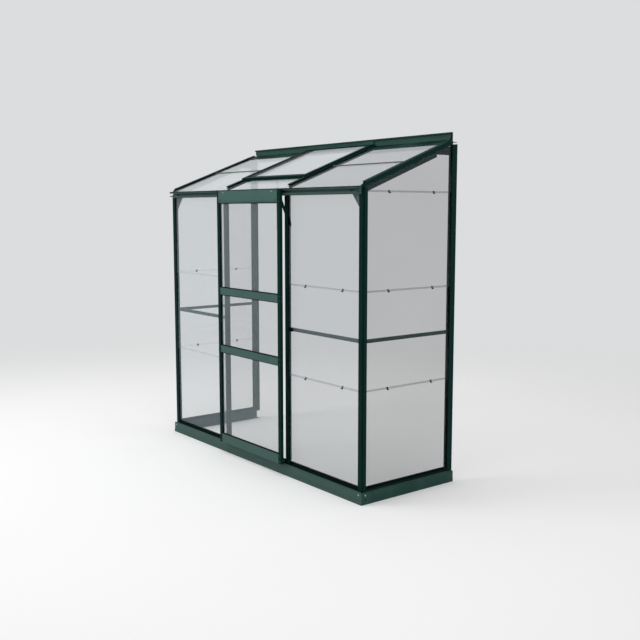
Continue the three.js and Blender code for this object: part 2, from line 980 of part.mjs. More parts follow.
function doorStile(side) {
  const section = [
    [0, 0],
    [stileWidth, 0],
    [stileWidth, doorWall],
    [stileCore, doorWall],
    [stileCore, doorSeatFront],
    [stileWidth, doorSeatFront],
    [stileWidth, doorSeatRear],
    [stileCore, doorSeatRear],
    [stileCore, doorDepth],
    [0, doorDepth],
  ];
  const hollow = rectangle(doorWall, stileCore - doorWall, doorWall, doorDepth - doorWall);
  return extrusion(
    section,
    doorBottom,
    doorTop,
    (s, d, z) => [side * (doorHalf - s), wallY - doorFrontOut + d, z],
    [hollow],
  );
}

// A middle rail with a glass groove along both edges
function doorMiddleRail(bottom) {
  const top = bottom + middleRailHeight;
  const section = [
    [0, bottom],
    [doorWall, bottom],
    [doorWall, bottom + doorGroove],
    [doorSeatFront, bottom + doorGroove],
    [doorSeatFront, bottom],
    [doorSeatRear, bottom],
    [doorSeatRear, top],
    [doorSeatFront, top],
    [doorSeatFront, top - doorGroove],
    [doorWall, top - doorGroove],
    [doorWall, top],
    [0, top],
  ];
  const hollow = rectangle(
    doorWall,
    doorSeatRear - doorWall,
    bottom + doorGroove + doorWall,
    top - doorGroove - doorWall,
  );
  return extrusion(section, -railHalf, railHalf, doorRun, [hollow]);
}

// Top rail: its face stands proud and laps a little over the stiles. It carries the axles.
const topRailBottom = doorTop - topRailHeight;

function doorTopRail() {
  const core = doorTop - topRailCore;
  const section = [
    [0, topRailBottom],
    [doorWall, topRailBottom],
    [doorWall, core],
    [doorSeatFront, core],
    [doorSeatFront, topRailBottom],
    [doorSeatRear, topRailBottom],
    [doorSeatRear, core],
    [doorDepth, core],
    [doorDepth, doorTop],
    [-topRailProud, doorTop],
    [-topRailProud, topRailBottom + topRailLip],
    [0, topRailBottom + topRailLip],
  ];
  const face = rectangle(
    -topRailProud,
    -topRailStep,
    topRailBottom + topRailLip,
    doorTop,
  );
  const faceHalf = railHalf + topRailOverlap;
  const hollow = rectangle(doorWall, doorDepth - doorWall, core + doorWall, doorTop - doorWall);
  const rail = join(
    extrusion(section, -railHalf, railHalf, doorRun, [hollow]),
    extrusion(face, -faceHalf, faceHalf, doorRun),
  );
  const rollerBack = rollerOut - rollerWidth / 2;
  const headEnd = rollerBack - fitGap;
  const axles = [-1, 1].flatMap((side) => {
    const x = side * rollerSpacing / 2;
    return [
      rod(axleRadius, x, headEnd - axleHeadThickness / 2, doorBackOut + doorWall / 2, rollerHeight),
      rod(axleHeadRadius, x, headEnd - axleHeadThickness, headEnd, rollerHeight),
    ];
  });
  return join(rail, ...axles);
}

// Bottom rail, with two nylon-faced guide blocks that straddle the rib of the base
function doorBottomRail() {
  const top = doorBottom + bottomRailHeight;
  const groove = top - doorGroove;
  const shoulder = groove - bottomRailStep;
  const section = [
    [0, doorBottom],
    [doorDepth, doorBottom],
    [doorDepth, shoulder],
    [doorSeatRear, shoulder],
    [doorSeatRear, top],
    [doorSeatFront, top],
    [doorSeatFront, groove],
    [doorWall, groove],
    [doorWall, top],
    [0, top],
  ];
  const hollow = rectangle(
    doorWall,
    doorDepth - doorWall,
    doorBottom + doorWall,
    shoulder - doorWall,
  );
  const rail = extrusion(section, -railHalf, railHalf, doorRun, [hollow]);
  const ribFront = baseDepth - guideRibSetback;
  const slot = wallBox(
    -doorHalf,
    doorHalf,
    ribFront - guideRibThickness - guideClearance,
    ribFront + guideClearance,
    baseHeight,
    baseHeight + guideRibHeight + guideClearance,
  );
  const guides = [-1, 1].map((side) => {
    const middle = side * guideSpacing / 2;
    const block = wallBox(
      middle - guideLength / 2,
      middle + guideLength / 2,
      frameOut + guideWallGap,
      doorBackOut + doorWall / 2,
      baseHeight + guideClearance,
      baseHeight + guideClearance + guideDepth,
    );
    return cut(block, slot);
  });
  return join(rail, ...guides);
}

function doorPanes() {
  const half = doorHalf - stileCore - glassEdgeGap;
  const grip = doorGroove - glassEdgeGap;
  const lowerTop = lowerRailBottom + middleRailHeight;
  const upperTop = upperRailBottom + middleRailHeight;
  const bays = [
    ['lower', doorBottom + bottomRailHeight - grip, lowerRailBottom + grip],
    ['middle', lowerTop - grip, upperRailBottom + grip],
    ['upper', upperTop - grip, topRailBottom + grip],
  ];
  const place = (x, z, w) => [x, wallY - doorFrontOut + doorGlassSetback + w, z];
  return bays.map(([label, low, high]) => piece(
    `pane_door_${label}`,
    extrusion(rectangle(-half, half, low, high), 0, glassThickness, place),
    glass,
  ));
}

// Grooved wheel that runs on the rib of the track, turned about its axle
const rollerOut = frameOut + fitGap + eavesWeb + trackRibOffset + trackRibWidth / 2;

function roller(name, side) {
  const half = rollerWidth / 2;
  const groove = rollerGrooveWidth / 2;
  const profile = [
    [rollerBore, -half],
    [rollerRim, -half],
    [rollerRim, -groove],
    [rollerGroove, -groove],
    [rollerGroove, groove],
    [rollerRim, groove],
    [rollerRim, half],
    [rollerBore, half],
    [rollerBore, -half],
  ];
  const turned = new THREE.LatheGeometry(
    profile.map(([r, y]) => new THREE.Vector2(r, y)),
    roundSides,
  );
  const wheel = piece(name, faceOut(closed(turned)), nylon);
  wheel.position.set(side * rollerSpacing / 2, wallY - rollerOut, rollerHeight);
  return wheel;
}

function door() {
  const group = new THREE.Group();
  group.name = 'door';
  group.add(
    piece('door_stile_left', doorStile(-1), paint),
    piece('door_stile_right', doorStile(1), paint),
    piece('door_top_rail', doorTopRail(), paint),
    piece('door_middle_rail_upper', doorMiddleRail(upperRailBottom), paint),
    piece('door_middle_rail_lower', doorMiddleRail(lowerRailBottom), paint),
    piece('door_bottom_rail', doorBottomRail(), paint),
    ...doorPanes(),
    roller('door_roller_left', -1),
    roller('door_roller_right', 1),
  );
  return group;
}

// Roof vent, drawn in the roof's own frame
function toSlope([out, z]) {
  const along = eavesGlassOut - out;
  const rise = z - eavesGlassHeight;
  return [
    along * Math.cos(pitch) + rise * Math.sin(pitch),
    rise * Math.cos(pitch) - along * Math.sin(pitch),
  ];
}

const ventBottom = capTop + ventClearance;
const ventTop = ventBottom + ventRailHeight;
const ventHalf = ventWidth / 2;
const ventLedgeEdge = ventBottomRun + ventRailWidth + ventLedge;
const stayPinRun = ventLedgeEdge + stayPinReach;
const ventTopRun = roofRun(ridgeDepth + ventRidgeGap, ventBottom);

function ventFrame() {
  const inset = (size) => [
    size - ventHalf,
    ventHalf - size,
    ventBottomRun + size,
    ventTopRun - size,
  ];
  const ledgeTop = ventBottom + ventLedgeThickness;
  const ledgeMiddle = (ventBottom + ledgeTop) / 2;
  const outer = box(...inset(0), ventBottom, ventTop);
  const through = box(...inset(ventRailWidth + ventLedge), 0, ventTop + cutOverrun);
  const rebate = box(...inset(ventRailWidth), ledgeTop, ventTop + cutOverrun);
  const dripHalf = mullionX - capWidth / 2 - ventDripGap;
  const drip = box(
    -dripHalf,
    dripHalf,
    ventBottomRun,
    ventBottomRun + ventDripThickness,
    glassThickness + ventDripGap,
    ledgeMiddle,
  );
  const acrossVent = (points) => extrusion(points.map(toSlope), -ventHalf, ventHalf, acrossSlope);
  const neckBack = hingeOut - ventNeck / 2;
  const bead = acrossVent(circle(hingeOut, hingeHeight, ventBead, arcSteps));
  const flap = acrossVent([
    [neckBack, hingeHeight],
    [neckBack, hingeHeight - ventFlapDrop],
    [neckBack + ventFlapThickness, hingeHeight - ventFlapDrop],
    [neckBack + ventFlapThickness, hingeHeight - ventNeckDrop],
    [neckBack + ventNeck, hingeHeight - ventNeckDrop],
    [neckBack + ventNeck, hingeHeight],
  ]);
  const lugInner = stayWidth / 2 + stayGap;
  const lugOuter = lugInner + lugThickness;
  const lugOutline = rectangle(
    ventLedgeEdge - lugDepth,
    stayPinRun + lugTip,
    stayPinHeight - lugTip,
    ledgeMiddle,
  );
  const pin = circle(stayPinRun, stayPinHeight, stayPin, arcSteps);
  return join(
    cut(outer, through, rebate),
    drip,
    bead,
    flap,
    extrusion(lugOutline, -lugOuter, -lugInner, acrossSlope),
    extrusion(lugOutline, lugInner, lugOuter, acrossSlope),
    extrusion(pin, -lugOuter, lugOuter, acrossSlope),
  );
}

function ventPane() {
  const side = ventHalf - ventRailWidth - glassEdgeGap;
  const margin = ventRailWidth + glassEdgeGap;
  const bed = ventBottom + ventLedgeThickness + fitGap;
  return piece(
    'vent_pane',
    box(
      -side,
      side,
      ventBottomRun + margin,
      ventTopRun - margin,
      bed,
      bed + glassThickness,
    ),
    glass,
  );
}

// Stay: a flat bar with an eye at its top, hanging from the vent's pin
function ventStay() {
  const across = (y, z, x) => [x, y, z];
  const half = stayWidth / 2;
  const eye = extrusion(
    circle(0, 0, stayEye, roundSides),
    -half,
    half,
    across,
    [circle(0, 0, stayEyeBore, roundSides)],
  );
  const wall = (stayEye + stayEyeBore) / 2;
  const bar = box(-half, half, -stayThickness / 2, stayThickness / 2, -stayLength, -wall);
  const holes = Array.from({ length: stayHoleCount }, (_, i) => extrusion(
    circle(0, stayHoleInset - stayLength + stayHolePitch * i, stayHoleRadius, arcSteps),
    -stayThickness,
    stayThickness,
    (x, z, y) => [x, y, z],
  ));
  const stay = piece('vent_stay', cut(join(eye, bar), ...holes), zinc);
  const out = eavesGlassOut - stayPinRun * Math.cos(pitch) + stayPinHeight * Math.sin(pitch);
  stay.position.set(0, wallY - out, roofHeight(out, stayPinHeight));
  return stay;
}

function roof() {
  const group = new THREE.Group();
  group.name = 'roof';
  group.position.set(0, wallY - eavesGlassOut, eavesGlassHeight);
  group.rotation.x = pitch;
  group.add(
    piece('rafter_end_left', endRafter(-1), paint),
    piece('rafter_end_right', endRafter(1), paint),
    piece('rafter_middle_left', middleRafter(-1), paint),
    piece('rafter_middle_right', middleRafter(1), paint),
    slamBar(),
    ...roofPanes(-1, 'left'),
    ...roofPanes(1, 'right'),
    roofMiddlePane(),
    piece('vent_frame', ventFrame(), paint),
    ventPane(),
  );
  return group;
}

const greenhouse = new THREE.Group();
greenhouse.name = 'lean_to_greenhouse';
greenhouse.add(
  ...baseRails(),
  ...sillRails(),
  ...uprights(),
  eavesBar(),
  ridgeBar(),
  ...frontPanes(-1, 'left'),
  ...frontPanes(1, 'right'),
  ...endPanes(-1, 'left'),
  ...endPanes(1, 'right'),
  ...braces(),
  piece('gusset_front_left', cornerGusset(-1), paint),
  piece('gusset_front_right', cornerGusset(1), paint),
  piece('door_corner_brace', doorCornerBrace(), paint),
  door(),
  roof(),
  ventStay(),
);

export default greenhouse;
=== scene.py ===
"""Lean-to greenhouse: finishes, seals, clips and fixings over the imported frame."""

import math

import bmesh
import bpy
from mathutils import Matrix, Vector


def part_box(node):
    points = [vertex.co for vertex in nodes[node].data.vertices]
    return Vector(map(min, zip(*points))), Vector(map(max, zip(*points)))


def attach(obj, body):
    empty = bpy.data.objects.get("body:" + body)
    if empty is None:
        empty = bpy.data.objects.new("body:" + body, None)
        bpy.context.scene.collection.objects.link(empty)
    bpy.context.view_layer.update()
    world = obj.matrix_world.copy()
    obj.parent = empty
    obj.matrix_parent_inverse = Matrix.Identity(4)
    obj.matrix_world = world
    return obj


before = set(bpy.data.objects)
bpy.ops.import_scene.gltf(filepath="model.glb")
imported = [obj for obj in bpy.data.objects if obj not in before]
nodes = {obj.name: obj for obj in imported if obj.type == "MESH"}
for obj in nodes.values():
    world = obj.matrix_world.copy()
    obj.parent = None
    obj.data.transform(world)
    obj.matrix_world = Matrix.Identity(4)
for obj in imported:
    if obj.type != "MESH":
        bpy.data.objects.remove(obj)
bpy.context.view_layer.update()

# Camera, as the photograph was taken
CAMERA_AT = (4.1953, -3.105, 1.4739)
CAMERA_TURN_DEGREES = (82.895, 0.0, 51.956)
CAMERA_LENS = 49.47
CAMERA_SENSOR = 36.0

# Light and background. Each lamp has a name, a place, a size and a power.
BACKGROUND = (0.715, 0.722, 0.728, 1.0)
WHITE = (1, 1, 1, 1)
AMBIENT = 0.50
SHOWN_STRENGTH = 1.0
FLOOR_COLOUR = (0.90, 0.90, 0.90, 1.0)
FLOOR_GLOW = 0.17
FLOOR_SIZE = 60.0
FLOOR_NEAR = 2.0
FLOOR_FAR = 6.0
LIGHT_TARGET = (0, 0, 0.8)
LAMPS = (
    ("key", (-2.6, -4.6, 4.2), 3.2, 115.0),
    ("fill", (4.6, -2.2, 2.8), 2.6, 20.0),
    ("top", (0.3, -0.6, 4.6), 3.0, 40.0),
)

# Greenhouse sizes, in metres, as the solids have them. "Out" is the distance from the plane
# of the back, measured towards the front, and heights are from the ground.
SIDES = (-1, 1)
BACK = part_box("wall_post_left")[1].y
GLASS = 0.003
GLASS_OUT = 0.6365
END_GLASS = 0.9365
CAP_UNDER = 0.0105
CAP_TOP = 0.0125
CAP_HALF = 0.0155
POST_EDGE = 0.918
MULLION = 0.312
EAVES_OUT = 0.655
EAVES_HEIGHT = 1.5923
ROOF_PITCH = math.radians(20.86)
PANE_LIFT = 0.0033
PANE_LAP = 0.010
FRONT_JOINTS = (0.571, 1.070)
END_JOINTS = (0.571, 1.070, 1.563)
ROOF_JOINT = 0.342
FRONT_BAY = (0.3290, 0.9170)
ROOF_BAY = (0.3290, 0.9180)
END_SILL = (0.0460, 0.6170)
BAR_FOOT = 0.0853
BAR_HEAD = 1.553
POST_HEAD = 1.802
POST_SIDE = 0.949
BASE_SIDE = 0.9595
BASE_FRONT = 0.6595
RIDGE_FLANGE = 0.016
DOOR_GLASS = 0.687
DOOR_INNER = 0.295
DOOR_SIDE = 0.320
DOOR_PANES = ((0.125, 0.628), (0.669, 0.976), (1.017, 1.517))
DOOR_FACE = 0.698
HEADER_FACE = 0.701
ROLLER = (0.2455, 1.5759)


def local_frame(origin, across, outward, along):
    """Matrix from (across, outward, along) to the object's own frame."""
    rows = Matrix((across, outward, along)).transposed().to_4x4()
    return Matrix.Translation(origin) @ rows


sin_pitch = math.sin(ROOF_PITCH)
cos_pitch = math.cos(ROOF_PITCH)
X, Y, Z = Vector((1, 0, 0)), Vector((0, 1, 0)), Vector((0, 0, 1))
ROOF_NORMAL = Vector((0, -sin_pitch, cos_pitch))
ROOF_SLOPE = Vector((0, cos_pitch, sin_pitch))
FRONT = local_frame((0, BACK - GLASS_OUT, 0), X, -Y, Z)
FACE = local_frame((0, BACK, 0), X, -Y, Z)
END = {side: local_frame((side * END_GLASS, BACK, 0), -Y, side * X, Z) for side in SIDES}
SIDE = {side: local_frame((0, BACK, 0), -Y, side * X, Z) for side in SIDES}
ROOF = local_frame((0, BACK - EAVES_OUT, EAVES_HEIGHT), X, ROOF_NORMAL, ROOF_SLOPE)

# Sockets of the mix node
MIX_FACTOR = 0
MIX_VALUES = (2, 3)
MIX_COLOURS = (6, 7)
MIX_VALUE_OUT = 0
MIX_COLOUR_OUT = 2

# Powder coat: each noise is a scale and a detail, and each bump is a strength and a distance
COAT_IOR = 1.5
COAT_FACING = (0.5, 0.9)
COAT_CLOUD = (7.0, 3.0)
COAT_SPECK = (900.0, 1.0)
COAT_GRAIN = (480.0, 2.0)
WORN_RAMP = (0.35, 0.75)
WORN_SHARE = 0.35
WORN_GAIN = 1.35
DUST_RAMP = (0.62, 0.75)
DUST_SHARE = 0.3
DUST_GAIN = 0.6
COAT_ROUGHNESS = 0.38
COAT_ROUGHNESS_SPREAD = 0.14
GRAIN_BUMP = (0.10, 0.0006)
SPECK_BUMP = (0.05, 0.0003)
FLUTE_BUMP = (0.25, 0.0008)

# Glass
GLASS_IOR = 1.5
GLASS_ROUGHNESS = 0.04
GLASS_EDGE = (0.32, 0.39, 0.38, 1)
EDGE_ALPHA = 0.12
PANE_FACING = (0.4, 0.7)
GLASS_CLOUD = (1.7, 2.0)
# The pane's tone is a painted reflection, clouded darker and lighter, and these set how much of
# what lies behind it covers
REFLECTION_FILM_DARK = 0.9
REFLECTION_FILM_LIGHT = 1.1
REFLECTION_FILM_THIN = 0.85
REFLECTION_FILM_SPREAD = 0.3
# Painted reflection: seen at a low angle, the pane's tone covers more
GRAZING_REFLECTION_RAMP = (0.62, 0.84)
GRAZING_REFLECTION_ALPHA = 0.56
GLASS_RIPPLE = (5.0, 1.0)
RIPPLE_BUMP = (0.04, 0.01)

# Rubber and plastic
RUBBER_ROUGHNESS = 0.62
RUBBER_CLOUD = (30.0, 3.0)
RUBBER_GRAIN = (700.0, 2.0)
RUBBER_DUST_SHARE = 0.3
RUBBER_DUST_GAIN = 2.5
RUBBER_BUMP = (0.15, 0.0004)

# Bare metal
METAL_CLOUD = (60.0, 3.0)
METAL_GRAIN = (1500.0, 1.0)
METAL_DARK = 0.72
METAL_ROUGHNESS_SPREAD = 0.2
METAL_BUMP = (0.08, 0.0002)


def principled(name, **values):
    """A new node material and its shader, with constants set on the shader's sockets."""
    material = bpy.data.materials.new(name)
    material.use_nodes = True
    shader = material.node_tree.nodes["Principled BSDF"]
    for socket, value in values.items():
        shader.inputs[socket.replace("_", " ")].default_value = value
    return material, shader


def node(tree, kind, inputs=None, **settings):
    """A new node. Its inputs are linked where a socket is given, and set otherwise."""
    made = tree.nodes.new(kind)
    for name, value in settings.items():
        setattr(made, name, value)
    for name, value in (inputs or {}).items():
        socket = made.inputs[name]
        if isinstance(value, bpy.types.NodeSocket):
            tree.links.new(value, socket)
        else:
            socket.default_value = value
    return made


def math_node(tree, operation, first, second=0.5):
    inputs = {0: first, 1: second}
    return node(tree, "ShaderNodeMath", inputs, operation=operation).outputs[0]


def mixed(tree, factor, first, second):
    """Colour mix: first where factor is 0, second where it is 1."""
    inputs = {MIX_FACTOR: factor, MIX_COLOURS[0]: first, MIX_COLOURS[1]: second}
    return node(tree, "ShaderNodeMix", inputs, data_type="RGBA").outputs[MIX_COLOUR_OUT]


def mixed_value(tree, factor, first, second):
    """Value mix: first where factor is 0, second where it is 1."""
    inputs = {MIX_FACTOR: factor, MIX_VALUES[0]: first, MIX_VALUES[1]: second}
    return node(tree, "ShaderNodeMix", inputs, data_type="FLOAT").outputs[MIX_VALUE_OUT]


def ramp(tree, factor, low, high):
    """0 at low and before it, 1 at high and beyond it, smooth between."""
    inputs = {"Value": factor, "From Min": low, "From Max": high}
    made = node(tree, "ShaderNodeMapRange", inputs, interpolation_type="SMOOTHSTEP")
    return made.outputs["Result"]


def noise(tree, where, scale, detail):
    inputs = {"Vector": where, "Scale": scale, "Detail": detail}
    return node(tree, "ShaderNodeTexNoise", inputs).outputs["Fac"]


def separated(tree, vector):
    return node(tree, "ShaderNodeSeparateXYZ", {0: vector}).outputs


def share_and_offset(tree, value, share, offset):
    return math_node(tree, "ADD", math_node(tree, "MULTIPLY", value, share), offset)


def bumped(tree, shader, heights):
    """Chains (height, strength, distance) bumps into the shader's normal."""
    normal = None
    for height, strength, distance in heights:
        inputs = {"Height": height, "Strength": strength, "Distance": distance}
        if normal is not None:
            inputs["Normal"] = normal
        normal = node(tree, "ShaderNodeBump", inputs).outputs["Normal"]
    tree.links.new(normal, shader.inputs["Normal"])


def scaled(colour, factor):
    return tuple(factor * part for part in colour[:3]) + (1.0,)


def powder_coat(name, tones, gloss=0.03, flutes=None, zones=()):
    """Satin powder coat. tones are those of faces towards the front, towards X and upwards:
    painted light and shade, which one green takes as a face turns. Each zone is a tone and the
    (axis, low, high) ramps, from 0 to 1, that bound where it lies, where X is the distance from
    the middle; the zones paint shade and light too."""
    front, side, top = tones
    material, shader = principled(name, IOR=COAT_IOR, Specular_IOR_Level=gloss)
    tree = material.node_tree
    place = node(tree, "ShaderNodeTexCoord")
    where = place.outputs["Object"]
    normal = separated(tree, place.outputs["Normal"])
    sideways = ramp(tree, math_node(tree, "ABSOLUTE", normal["X"]), *COAT_FACING)
    upwards = ramp(tree, normal["Z"], *COAT_FACING)
    cloud = noise(tree, where, *COAT_CLOUD)
    speck = noise(tree, where, *COAT_SPECK)
    # Painted light and shade: faces turned towards X or upwards take the side and top tones
    tone = mixed(tree, sideways, front, side)
    tone = mixed(tree, upwards, tone, top)
    spot = separated(tree, where)
    # Zones of painted shade and light, each laid over the tones before it
    for zone_tone, ramps in zones:
        inside = 1.0
        for axis, low, high in ramps:
            value = spot[axis]
            if axis == "X":
                value = math_node(tree, "ABSOLUTE", value)
            inside = math_node(tree, "MULTIPLY", inside, ramp(tree, value, low, high))
        tone = mixed(tree, inside, tone, zone_tone)
    worn = math_node(tree, "MULTIPLY", ramp(tree, cloud, *WORN_RAMP), WORN_SHARE)
    tone = mixed(tree, worn, tone, scaled(front, WORN_GAIN))
    dust = math_node(tree, "MULTIPLY", ramp(tree, speck, *DUST_RAMP), DUST_SHARE)
    tone = mixed(tree, dust, tone, scaled(side, DUST_GAIN))
    tree.links.new(tone, shader.inputs["Base Color"])
    rough = share_and_offset(tree, cloud, COAT_ROUGHNESS_SPREAD, COAT_ROUGHNESS)
    tree.links.new(rough, shader.inputs["Roughness"])
    heights = [(noise(tree, where, *COAT_GRAIN), *GRAIN_BUMP), (speck, *SPECK_BUMP)]
    if flutes:
        wave = node(
            tree,
            "ShaderNodeTexWave",
            {"Vector": where, "Scale": flutes},
            wave_type="BANDS",
            bands_direction="Z",
            wave_profile="SIN",
        ).outputs["Fac"]
        heights.insert(0, (wave, *FLUTE_BUMP))
    bumped(tree, shader, heights)
    return material


def glass(name, axis, through, painted_reflection, gloss=0.3, clear=()):
    """Horticultural glass. axis is the pane's own normal, through is the share of light
    that passes both of a pane's faces, and painted_reflection is the light that they add,
    a painted reflection given as the pane's own tone. Where it is seen at a low angle, less
    comes through and more of that tone shows, a painted reflection too, but not in the clear
    bands, which are ramps, from 0 to 1, of the place along X."""
    material, shader = principled(
        name, Roughness=GLASS_ROUGHNESS, IOR=GLASS_IOR, Specular_IOR_Level=gloss
    )
    tree = material.node_tree
    place = node(tree, "ShaderNodeTexCoord")
    where = place.outputs["Object"]
    along = node(
        tree,
        "ShaderNodeVectorMath",
        {0: place.outputs["Normal"], 1: axis},
        operation="DOT_PRODUCT",
    ).outputs["Value"]
    face = ramp(tree, math_node(tree, "ABSOLUTE", along), *PANE_FACING)
    cloud = noise(tree, where, *GLASS_CLOUD)
    # The pane's own tone is a painted reflection, scaled so that both faces add the given light
    tone = scaled(painted_reflection, 1 / (1 - through))
    reflection_film = mixed(tree, cloud, scaled(tone, REFLECTION_FILM_DARK), scaled(tone, REFLECTION_FILM_LIGHT))
    tree.links.new(mixed(tree, face, GLASS_EDGE, reflection_film), shader.inputs["Base Color"])
    alpha = 1 - math.sqrt(through)
    thickness = share_and_offset(tree, cloud, REFLECTION_FILM_SPREAD * alpha, REFLECTION_FILM_THIN * alpha)
    # Painted reflection at low angles, left out in the clear bands
    facing = node(tree, "ShaderNodeLayerWeight").outputs["Facing"]
    grazing_reflection = ramp(tree, facing, *GRAZING_REFLECTION_RAMP)
    aside = separated(tree, where)["X"]
    for low, high in clear:
        outside_clear_band = math_node(tree, "SUBTRACT", 1.0, ramp(tree, aside, low, high))
        grazing_reflection = math_node(tree, "MULTIPLY", grazing_reflection, outside_clear_band)
    thickness = mixed_value(tree, grazing_reflection, thickness, GRAZING_REFLECTION_ALPHA)
    see = mixed_value(tree, face, EDGE_ALPHA, thickness)
    tree.links.new(see, shader.inputs["Alpha"])
    bumped(tree, shader, [(noise(tree, where, *GLASS_RIPPLE), *RIPPLE_BUMP)])
    return material


def rubber(name, tone, gloss=0.1):
    """Matt rubber or plastic with a little dust."""
    material, shader = principled(name, Roughness=RUBBER_ROUGHNESS, Specular_IOR_Level=gloss)
    tree = material.node_tree
    where = node(tree, "ShaderNodeTexCoord").outputs["Object"]
    cloud = noise(tree, where, *RUBBER_CLOUD)
    dust = math_node(tree, "MULTIPLY", cloud, RUBBER_DUST_SHARE)
    dusty = mixed(tree, dust, tone, scaled(tone, RUBBER_DUST_GAIN))
    tree.links.new(dusty, shader.inputs["Base Color"])
    bumped(tree, shader, [(noise(tree, where, *RUBBER_GRAIN), *RUBBER_BUMP)])
    return material


def metal(name, tone, rough):
    """Plated or bare metal, clouded in tone and roughness."""
    material, shader = principled(name, Metallic=1.0)
    tree = material.node_tree
    where = node(tree, "ShaderNodeTexCoord").outputs["Object"]
    cloud = noise(tree, where, *METAL_CLOUD)
    clouded = mixed(tree, cloud, scaled(tone, METAL_DARK), tone)
    tree.links.new(clouded, shader.inputs["Base Color"])
    smoothest = rough - METAL_ROUGHNESS_SPREAD / 2
    varied = share_and_offset(tree, cloud, METAL_ROUGHNESS_SPREAD, smoothest)
    tree.links.new(varied, shader.inputs["Roughness"])
    bumped(tree, shader, [(noise(tree, where, *METAL_GRAIN), *METAL_BUMP)])
    return material


# Tones of faces towards the front, towards X and upwards, all painted light and shade on one
# green paint: the base, rails, channel and ridge are lighter copies that paint the reflection
# of broad flat faces, the bars are the darkest copy, and braces and screws are lighter on top
BASE_TONES = ((0.044, 0.094, 0.080, 1), (0.013, 0.058, 0.047, 1), (0.060, 0.110, 0.095, 1))
RAIL_TONES = ((0.047, 0.106, 0.091, 1), (0.013, 0.046, 0.038, 1), (0.060, 0.110, 0.095, 1))
CHANNEL_TONES = ((0.044, 0.078, 0.072, 1), (0.012, 0.040, 0.033, 1), (0.022, 0.048, 0.042, 1))
BAR_TONES = ((0.0012, 0.0205, 0.0155, 1), (0.0050, 0.0280, 0.0230, 1), (0.003, 0.024, 0.018, 1))
BRACE_TONES = ((0.020, 0.050, 0.042, 1), (0.020, 0.050, 0.042, 1), (0.030, 0.060, 0.052, 1))
SCREW_TONES = ((0.028, 0.060, 0.050, 1), (0.028, 0.060, 0.050, 1), (0.040, 0.080, 0.070, 1))
# Ridge: a lit face tone, painted reflection; a darker end tone and a near-black tone, painted
# shade on the ends, the upward faces, along the top and below the foot
RIDGE_FACE = (0.034, 0.088, 0.071, 1)
RIDGE_END_SHADE = (0.010, 0.036, 0.029, 1)
RIDGE_SHADE = (0.0020, 0.0160, 0.0125, 1)
# Painted shade on the eaves channel's top lip, and painted light in its recess that lifts the
# shade there
LIP_SHADE = (0.009, 0.024, 0.021, 1)
RECESS_LIGHT = (0.085, 0.175, 0.150, 1)
# Painted shade, nearly black, along the fold at the front corner of the corner posts
FOLD_SHADE = (0.0006, 0.0110, 0.0085, 1)

# Where the zones of painted shade and light lie, as (axis, low, high) ramps
# The channel's top lip, painted shade, and its recess, painted light
LIP_SHADE_ZONE = (("Z", 1.5835, 1.5855),)
RECESS_LIGHT_ZONE = (("Y", BACK - 0.663, BACK - 0.661),)
# Where the painted shade of the corner posts' fold lies
FOLD_SHADE_ZONE = (("X", 0.9405, 0.9435), ("Y", BACK - 0.6385, BACK - 0.6415))
# Painted shade along the ridge's foot and top
FOOT_SHADE_ZONE = (("Z", 1.8405, 1.8375),)
RIDGE_TOP_SHADE_ZONE = (("Z", 1.8745, 1.8765),)
# The vent's head flap takes the ridge face's lit tone, painted reflection, and its top the
# painted shade
VENT_HEAD_REFLECTION_ZONE = (("Y", BACK - 0.034, BACK - 0.032), ("Z", 1.846, 1.848))
VENT_TOP_SHADE_ZONE = (("Z", 1.8725, 1.8745),)

# Lit and shaded copies of one green paint, each with its own painted light and shade
BASE = powder_coat("coat_base", BASE_TONES, gloss=0.15)
RAIL = powder_coat("coat_rail", RAIL_TONES, gloss=0.12, flutes=60.0)
# Eaves channel: painted shade on its top lip and painted light in its recess
CHANNEL = powder_coat(
    "coat_channel",
    CHANNEL_TONES,
    gloss=0.08,
    flutes=45.0,
    zones=((LIP_SHADE, LIP_SHADE_ZONE), (RECESS_LIGHT, RECESS_LIGHT_ZONE)),
)
BAR = powder_coat("coat_bar", BAR_TONES)
# Corner posts: bar tones with painted shade along the fold
CORNER = powder_coat("coat_corner", BAR_TONES, zones=((FOLD_SHADE, FOLD_SHADE_ZONE),))
# Ridge: painted shade on its ends, upward faces, top and foot
RIDGE = powder_coat(
    "coat_ridge",
    (RIDGE_FACE, RIDGE_END_SHADE, RIDGE_SHADE),
    gloss=0.05,
    flutes=40.0,
    zones=((RIDGE_SHADE, FOOT_SHADE_ZONE), (RIDGE_SHADE, RIDGE_TOP_SHADE_ZONE)),
)
# Vent frame: bar tones, with the ridge's painted reflection on its head and painted shade on
# its top
VENT = powder_coat(
    "coat_vent",
    BAR_TONES,
    zones=((RIDGE_FACE, VENT_HEAD_REFLECTION_ZONE), (RIDGE_SHADE, VENT_TOP_SHADE_ZONE)),
)
BRACE = powder_coat("coat_brace", BRACE_TONES, gloss=0.2)
COATED_SCREW = powder_coat("coat_screw", SCREW_TONES, gloss=0.3)
SEAL = rubber("seal_black", (0.0010, 0.0020, 0.0019, 1), gloss=0.04)
SEALANT = rubber("sealant_grey", (0.095, 0.103, 0.105, 1))
NYLON = rubber("nylon_dark", (0.012, 0.013, 0.014, 1), gloss=0.2)
ZINC = metal("zinc_plate", (0.60, 0.62, 0.62, 1), rough=0.42)
BRIGHT = metal("bright_screw", (0.45, 0.50, 0.48, 1), rough=0.45)

